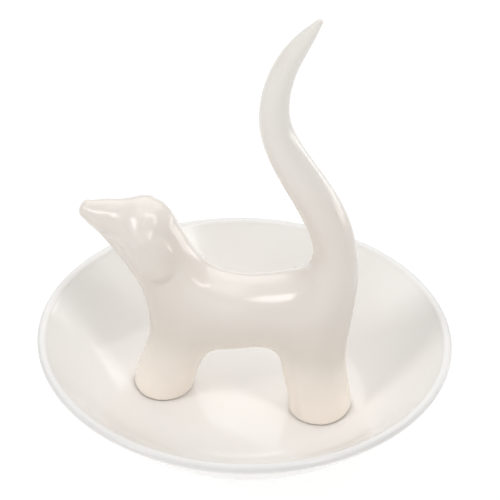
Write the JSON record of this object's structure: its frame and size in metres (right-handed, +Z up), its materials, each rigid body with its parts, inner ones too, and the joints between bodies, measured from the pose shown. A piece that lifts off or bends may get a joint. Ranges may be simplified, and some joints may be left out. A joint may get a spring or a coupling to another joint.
{
  "type": "ring dish",
  "caption": "Round glazed ceramic saucer with a standing dachshund figure in its middle. The dog's tall curved tail is a post for finger rings, and the bowl holds small jewellery.",
  "frame": {"origin": "centre of the foot ring's underside, on the surface that the dish stands on", "axes": "+Z up along the dish's axis, -X the way the dog looks, the XZ plane the dog's mirror plane"},
  "size_m": [0.11, 0.11, 0.1256],
  "materials": {
    "dish_glaze": "gloss",
    "dog_glaze": "gloss",
    "slip": "matte"
  },
  "bodies": {
    "root": {"dish": "dish_glaze", "dog_figure": "dog_glaze", "front_foot_slip": "slip", "rear_foot_slip": "slip"}
  },
  "joints": []
}
